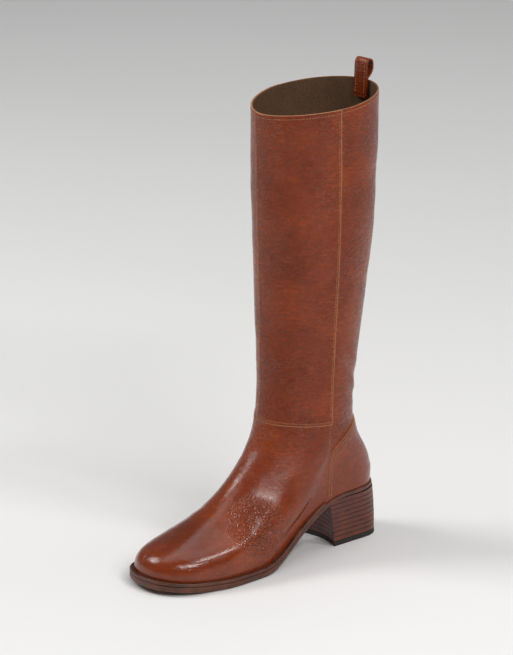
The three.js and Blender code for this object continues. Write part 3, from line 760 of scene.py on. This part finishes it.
def row_on(tree, rays, pitch, lift=0.0):
    """Places at an even pitch where the rays land: point, direction along the row, and normal."""
    landed = [tree.ray_cast(origin, way)[:2] for origin, way in rays]
    landed = [(point, normal) for point, normal in landed if point is not None]
    placed, travelled = [], 0.0
    for (a, na), (b, nb) in zip(landed, landed[1:]):
        step = (b - a).length
        if step < 1e-7:
            continue
        travelled += step
        if travelled >= pitch:
            travelled -= pitch
            normal = (na + nb).normalized()
            placed.append((b + normal * lift, (b - a).normalized(), normal))
    return placed


def set_along(name, shape, places, size, finish, turn=0.0):
    """One object with a copy of the shape at every place. size is long, wide, high."""
    corners, faces = shape
    all_corners, all_faces = [], []
    for point, along, normal in places:
        side = normal.cross(along).normalized()
        ahead = side.cross(normal)
        ahead, side = (math.cos(turn) * ahead + math.sin(turn) * side,
                       math.cos(turn) * side - math.sin(turn) * ahead)
        basis = np.array([ahead * size[0], side * size[1], normal * size[2]])
        start = len(all_corners)
        all_corners += (corners @ basis + np.array(point)).tolist()
        all_faces += [[start + v for v in face] for face in faces]
    mesh = bpy.data.meshes.new(name)
    mesh.from_pydata(all_corners, [], all_faces)
    mesh.materials.append(finish)
    piece = bpy.data.objects.new(name, mesh)
    bpy.context.scene.collection.objects.link(piece)
    smooth_over(piece, 60)
    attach(piece, "boot")


stitch_bar = shaped_bar("stitch_bar", 0.9)
leather_tree = tree_of((upper_leather, *leather_panels))
print("stitch of", len(stitch_bar[1]), "faces")

# %% Sew the seams
EDGE_IN = 2.4  # a row's distance from its edge
COLLAR_IN = 3.2
STITCH_TURN = 0.12  # a stitch lies a little askew
collar_front, collar_back = (92, 405), (-31, 418)


def below_collar(x):
    rise = (collar_back[1] - collar_front[1]) / (collar_front[0] - collar_back[0])
    return collar_front[1] + rise * (collar_front[0] - x) - COLLAR_IN


def above_outer_seam(x):
    (xa, za), (xb, zb) = LATERAL_VAMP_SEAM
    return za + (zb - za) * (x - xa) / (xb - xa) + EDGE_IN + 0.4


def below_inner_seam(x):
    (xa, za), (xb, zb) = MEDIAL_VAMP_SEAM
    return za + (zb - za) * (x - xa) / (xb - xa) - EDGE_IN


SEAMS = {
    "collar_stitches": [round_leg(leather_tree, below_collar, 0, 360)],
    "front_panel_stitches": [
        from_side(((40 + EDGE_IN, 126), (44 + EDGE_IN, 400)), 1),
        along_x(FRONT_SEAM_Y / MM + EDGE_IN, 130, 400, -1),
        round_leg(leather_tree, above_outer_seam, -9, 78),
    ],
    "vamp_stitches": [
        from_side(((39.5 + EDGE_IN, 90), (39.5 + EDGE_IN, 120)), 1),
        round_leg(leather_tree, below_inner_seam, -88, -12),
    ],
    "counter_stitches": [
        from_side([(COUNTER_FRONT - gap, 45), *shifted(COUNTER_TOP[:-1], -gap, -gap)], side)
        for side in (1, -1) for gap in (EDGE_IN, EDGE_IN + 3)
    ],
    "zip_stitches": [
        from_side(shifted(ZIP_SIDE_LINE[:-1] + ((36, 400),), shift), -1)
        for shift in (ZIP_CLEAR + EDGE_IN, -ZIP_CLEAR - EDGE_IN, -ZIP_CLEAR - BAND_WIDE + EDGE_IN)
    ],
}
for seam, ray_rows in SEAMS.items():
    places = [place for rays in ray_rows for place in row_on(leather_tree, rays, STITCH_PITCH)]
    set_along(seam, stitch_bar, places, (STITCH_LONG, STITCH_THICK, STITCH_THICK),
              thread_tan, turn=STITCH_TURN)
    print(seam, len(places))

# %% [markdown]
# ## The zip
# The closed zip is a woven tape with a double row of teeth that hook into each other. One tooth is the
# same plump bar, set across the tape on alternate sides. The slider and its tab are small castings:
# the frame has their exact form, and a bevel and a worn brass finish make them metal.

# %% Teeth, slider and tab
TOOTH_PITCH = 1.5 * MM
TOOTH_SHIFT = 0.9 * MM
TOOTH_SIZE = (2.6 * MM, 0.95 * MM, 0.9 * MM)

brass, tree, shader = new_material("old_brass")
place = add_node(tree, "TexCoord").outputs["Object"]
wear = noise_of(tree, place, 420.0, 4.0, 0.6)
tree.links.new(mixed(tree, ranged(tree, wear, 0.35, 0.7), tint(96, 74, 44), tint(172, 142, 92)),
               shader.inputs["Base Color"])
shader.inputs["Metallic"].default_value = 1.0
tree.links.new(ranged(tree, wear, 0.3, 0.75, 0.42, 0.24), shader.inputs["Roughness"])
scratches = noise_of(tree, stretched(tree, place, (300.0, 300.0, 5000.0)), 1.0, 2.0)
tree.links.new(add_node(tree, "Bump", {"Strength": 1.0, "Distance": 0.01 * MM, "Height": scratches})
               .outputs["Normal"], shader.inputs["Normal"])

tooth_places = []
zip_tree = tree_of((zip_cloth,))
for side in (-1, 1):
    route = shifted(ZIP_SIDE_LINE[:-1] + ((36, 398),), side * TOOTH_SHIFT / MM)
    row = row_on(zip_tree, from_side(route, -1, step=0.25), TOOTH_PITCH, lift=0.25 * MM)
    tooth_places += row if side > 0 else [
        (point + along * TOOTH_PITCH / 2, along, normal) for point, along, normal in row
    ]
tooth_bar = shaped_bar("tooth_bar", 0.2)
set_along("zip_teeth", tooth_bar, tooth_places, TOOTH_SIZE, brass, turn=math.pi / 2)


def dressed(node, name, edge_round, finish, body="boot", degrees=35):
    """A merged copy of a frame node with its edges rounded, standing in for the node."""
    piece = merged_copy(node, name)
    finish_with(piece, "BEVEL", width=edge_round, segments=2, limit_method="ANGLE",
                angle_limit=math.radians(degrees))
    smooth_over(piece, 40)
    piece.data.materials.append(finish)
    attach(piece, body)
    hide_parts(node)
    return piece


dressed("zip_slider", "slider", 0.15 * MM, brass)
dressed("zip_pull_tab", "tab", 0.15 * MM, brass, body="pull_tab")
print("zip teeth", len(tooth_places))

# %% [markdown]
# ## Sole
# The welt is a strip of dark leather that the upper is sewn to. Its top carries a shallow channel
# where the welt stitch lies. The channel is an inset of the top faces, pressed down and coloured
# nearly black as painted shade, so a dark line parts the upper from the sole. The outsole's edge is
# inked and waxed: nearly smooth, with fine lines along it from the finishing iron.

# %% Outsole, welt and welt stitch
def lined_edge(name, light, dark, roughness):
    material, tree, shader = new_material(name)
    place = add_node(tree, "TexCoord").outputs["Object"]
    lines = noise_of(tree, stretched(tree, place, (60.0, 60.0, 1500.0)), 1.0, 3.0)
    cloud = noise_of(tree, place, 120.0, 3.0, 0.6)
    tone = mixed(tree, ranged(tree, cloud, 0.3, 0.7), dark, light)
    tone = mixed(tree, ranged(tree, lines, 0.5, 0.75, 0.0, 0.5), tone, dark)
    tree.links.new(tone, shader.inputs["Base Color"])
    tree.links.new(ranged(tree, cloud, 0.3, 0.7, roughness, roughness + 0.14),
                   shader.inputs["Roughness"])
    sizes = {"Strength": 1.0, "Distance": 0.06 * MM, "Height": maths(tree, "ADD", lines, cloud)}
    tree.links.new(add_node(tree, "Bump", sizes).outputs["Normal"], shader.inputs["Normal"])
    return material


sole_ink = lined_edge("sole_ink", tint(108, 58, 38), tint(72, 38, 24), 0.36)
# nearly black: painted shade of the groove between the upper and the welt
channel_painted_shade = lined_edge("channel_painted_shade", tint(34, 18, 13), tint(20, 11, 8), 0.6)
outsole = dressed("outsole", "outsole_leather", 0.4 * MM, sole_ink)

welt = merged_copy("welt", "welt_strip")
finish_with(welt, "BEVEL", width=0.35 * MM, segments=2, limit_method="ANGLE",
            angle_limit=math.radians(35))
WELT_CHANNEL_IN = 1.1 * MM
WELT_CHANNEL_DEEP = 0.4 * MM
WELT_TOP_AREA = 1.2 * MM * MM
top_faces = select_where(
    welt, "polygons", lambda face: face.normal.z > 0.8 and face.area > WELT_TOP_AREA
)
bpy.ops.mesh.inset(thickness=WELT_CHANNEL_IN, use_even_offset=True)
bpy.ops.transform.translate(value=(0, 0, -WELT_CHANNEL_DEEP))
close_piece()
smooth_over(welt, 40)
for finish in (sole_ink, channel_painted_shade):
    welt.data.materials.append(finish)
# the channel's faces take the painted shade
for face in welt.data.polygons:
    face.material_index = int(face.select)
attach(welt, "boot")
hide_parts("welt")
print("welt top faces", top_faces)

# %% Sew the welt
welt_low, welt_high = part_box("welt")
WELT_STITCH_PITCH = 4.2 * MM
WELT_STITCH_SIZE = (3.2 * MM, 0.8 * MM, 0.7 * MM)
welt_tree = tree_of((welt,))
thread_dark = fibre("thread_dark", tint(92, 56, 38), tint(56, 32, 22), 2600.0, 0.6)


def round_welt(inside, start, end, step=0.2):
    """Rays straight down on the welt's channel, a set way in from the outsole's edge."""
    outline = tree_of((outsole,))
    rays = []
    middle = Vector((welt_low.x * 0.5 + welt_high.x * 0.5, 0, 0))
    for angle in np.radians(np.arange(start, end, step)):
        away = Vector((math.cos(angle), math.sin(angle), 0))
        for level in np.arange(3 * MM, welt_high.z, 2 * MM):
            edge = outline.ray_cast(middle + away * RAY_START + Vector((0, 0, level)), -away)[0]
            if edge is None:
                continue
            place = edge - away * inside
            top = welt_tree.ray_cast(place + Vector((0, 0, 0.1)), Vector((0, 0, -1)))[0]
            if top is not None and abs(top.z - level) < 6 * MM:
                rays.append((place + Vector((0, 0, 0.1)), Vector((0, 0, -1))))
                break
    return rays


welt_places = row_on(welt_tree, round_welt(2.4 * MM, -125, 125), WELT_STITCH_PITCH, lift=0.1 * MM)
set_along("welt_stitches", stitch_bar, welt_places, WELT_STITCH_SIZE, thread_dark)
print("welt stitches", len(welt_places))

# %% [markdown]
# ## Stacked heel
# A stacked heel is a pile of leather lifts, glued, trimmed, stained and polished, on a rubber top
# piece. The joints between lifts run level all the way round. Each joint is three close cuts whose
# middle loop is drawn in, which leaves a fine groove, and the stain sits darker in it.

# %% Cut the lifts into the heel
LIFTS = 9
JOINT_HALF = 0.3 * MM
JOINT_DRAWN_IN = 0.991

stack_low, stack_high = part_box("heel_stack")
lift_pitch = (stack_high.z - stack_low.z) / LIFTS
stack = merged_copy("heel_stack", "heel_lifts")
for joint in range(1, LIFTS):
    level = stack_low.z + joint * lift_pitch
    for z in (level - JOINT_HALF, level, level + JOINT_HALF):
        open_whole(stack)
        bpy.ops.mesh.bisect(plane_co=(0, 0, z), plane_no=(0, 0, 1))
        close_piece()
    select_where(stack, "vertices", lambda v: abs(v.co.z - level) < 0.02 * MM)
    bpy.ops.transform.resize(value=(JOINT_DRAWN_IN, JOINT_DRAWN_IN, 1), center_override=(0, 0, level))
    close_piece()
smooth_over(stack, 35)

heel_stain, tree, shader = new_material("heel_stain")
place = add_node(tree, "TexCoord").outputs["Object"]
level = add_node(tree, "SeparateXYZ", {0: place}).outputs["Z"]
waver_z = maths(tree, "MULTIPLY", noise_of(tree, place, 60.0, 2.0), 0.5 * MM)
above_low = maths(tree, "SUBTRACT", maths(tree, "ADD", level, waver_z), stack_low.z + 0.25 * MM)
in_lift = maths(tree, "FRACT", maths(tree, "DIVIDE", above_low, lift_pitch), 0.0)
from_joint = maths(tree, "ABSOLUTE", maths(tree, "SUBTRACT", in_lift, 0.5), 0.0)
joint_dark = ranged(tree, from_joint, 0.34, 0.5, 0.0, 0.9)
fibres = noise_of(tree, stretched(tree, place, (110.0, 110.0, 2600.0)), 1.0, 4.0, 0.6)
stain = noise_of(tree, place, 75.0, 3.0)
tone = mixed(tree, ranged(tree, stain, 0.3, 0.7), tint(112, 50, 34), tint(92, 40, 28))
tone = mixed(tree, ranged(tree, fibres, 0.48, 0.72, 0.0, 0.7), tone, tint(52, 26, 20))
tone = mixed(tree, joint_dark, tone, tint(34, 18, 14))
tree.links.new(tone, shader.inputs["Base Color"])
tree.links.new(ranged(tree, fibres, 0.3, 0.7, 0.34, 0.5), shader.inputs["Roughness"])
tree.links.new(add_node(tree, "Bump", {"Strength": 1.0, "Distance": 0.05 * MM, "Height": fibres})
               .outputs["Normal"], shader.inputs["Normal"])
stack.data.materials.append(heel_stain)
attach(stack, "boot")
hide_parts("heel_stack")
print(LIFTS, "lifts of", round(lift_pitch / MM, 1), "mm")

# %% [markdown]
# The top piece is black-brown rubber: matt, faintly speckled, a little dusty. The insole is a soft
# leather sock, and the pull loop is a folded strip of the boot's leather.

# %% Top piece, insole and pull loop
rubber, tree, shader = new_material("heel_rubber_black")
place = add_node(tree, "TexCoord").outputs["Object"]
speckle = noise_of(tree, place, 1400.0, 4.0, 0.7)
tone = mixed(tree, ranged(tree, speckle, 0.4, 0.75), tint(30, 24, 22), tint(62, 52, 47))
tree.links.new(tone, shader.inputs["Base Color"])
tree.links.new(ranged(tree, speckle, 0.3, 0.7, 0.62, 0.82), shader.inputs["Roughness"])
tree.links.new(add_node(tree, "Bump", {"Strength": 1.0, "Distance": 0.05 * MM, "Height": speckle})
               .outputs["Normal"], shader.inputs["Normal"])

dressed("heel_top_piece", "top_piece", 0.4 * MM, rubber)
dressed("insole", "insole_sock", 0.6 * MM, lining_suede)
loop = dressed("pull_loop", "loop_strip", 0.35 * MM, boot_leather)

LOOP_ROW_Y = 5.4
loop_low, loop_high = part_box("pull_loop")
loop_tree = tree_of((loop,))
loop_rays = [
    along_x(side * LOOP_ROW_Y, loop_low.z / MM + 2, loop_high.z / MM - 2, way)
    for side in (-1, 1) for way in (-1, 1)
]
loop_places = [place for rays in loop_rays for place in row_on(loop_tree, rays, STITCH_PITCH)]
set_along("loop_stitches", stitch_bar, loop_places, (STITCH_LONG, STITCH_THICK, STITCH_THICK),
          thread_tan, turn=STITCH_TURN)
print("loop stitches", len(loop_places))

# %% [markdown]
# ## Who stands for what
# The leather pieces hide the plain nodes they are made from: they keep working as collision forms.
# The skin was only a form to cut from, so it goes.

# %% Replace the plain nodes
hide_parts("upper")
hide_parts("heel_counter")
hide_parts("zip_tape")
bpy.data.objects.remove(skin)

# %% [markdown]
# ## Studio
# A pale floor runs far behind the boot, so it is the backdrop too. The room is bright all round, which
# gives smooth leather its pale grazing edges. A large soft light from the front left makes the form,
# a long thin one on the outer side draws the highlight along the toe, and a small one lights the bend.

# %% Floor and lights
bpy.ops.object.select_all(action="DESELECT")
bpy.ops.mesh.primitive_plane_add(size=24)
floor = bpy.context.object
floor.name = "studio_floor"
floor_paint, tree, shader = new_material("floor_paint")
place = add_node(tree, "TexCoord").outputs["Object"]
tree.links.new(mixed(tree, noise_of(tree, place, 1.3, 2.0), tint(246, 245, 244), tint(238, 237, 235)),
               shader.inputs["Base Color"])
shader.inputs["Roughness"].default_value = 0.7
floor.data.materials.append(floor_paint)

world = bpy.data.worlds.new("studio_room")
bpy.context.scene.world = world
world.use_nodes = True
room = world.node_tree.nodes["Background"]
room.inputs["Color"].default_value = (0.95, 0.97, 1.0, 1.0)
room.inputs["Strength"].default_value = 0.165

LIGHTS = (  # name, turn from the toe, rise and tilt in degrees, distance, power, width, height
    ("key_light", -50, 42, 0, 2.8, 32, 1.1, 1.1),
    ("top_light", -30, 74, 0, 2.6, 7, 1.2, 1.2),
    ("toe_light", 76, 36, -24, 2.4, 20, 1.1, 0.08),
    ("bend_light", 102, 52, 0, 2.4, 10, 0.4, 0.35),
    ("floor_light", 180, 68, 0, 4.0, 44, 3.0, 3.0),
)
for name, turn, rise, tilt, away, power, wide, high in LIGHTS:
    turn, rise = math.radians(turn), math.radians(rise)
    level = Vector((math.cos(turn), math.sin(turn), 0)) * math.cos(rise)
    stand = boot_middle + (level + Vector((0, 0, math.sin(rise)))) * away
    lamp = bpy.data.lights.new(name, "AREA")
    lamp.shape = "RECTANGLE"
    lamp.energy = power
    lamp.size = wide
    lamp.size_y = high
    light = bpy.data.objects.new(name, lamp)
    light.location = stand
    light.rotation_mode = "QUATERNION"
    facing = (stand - boot_middle).to_track_quat("Z", "Y")
    light.rotation_quaternion = facing @ Quaternion((0, 0, 1), math.radians(tilt))
    bpy.context.scene.collection.objects.link(light)
bpy.context.scene.view_settings.view_transform = "Standard"
print("lights", [name for name, *_ in LIGHTS])
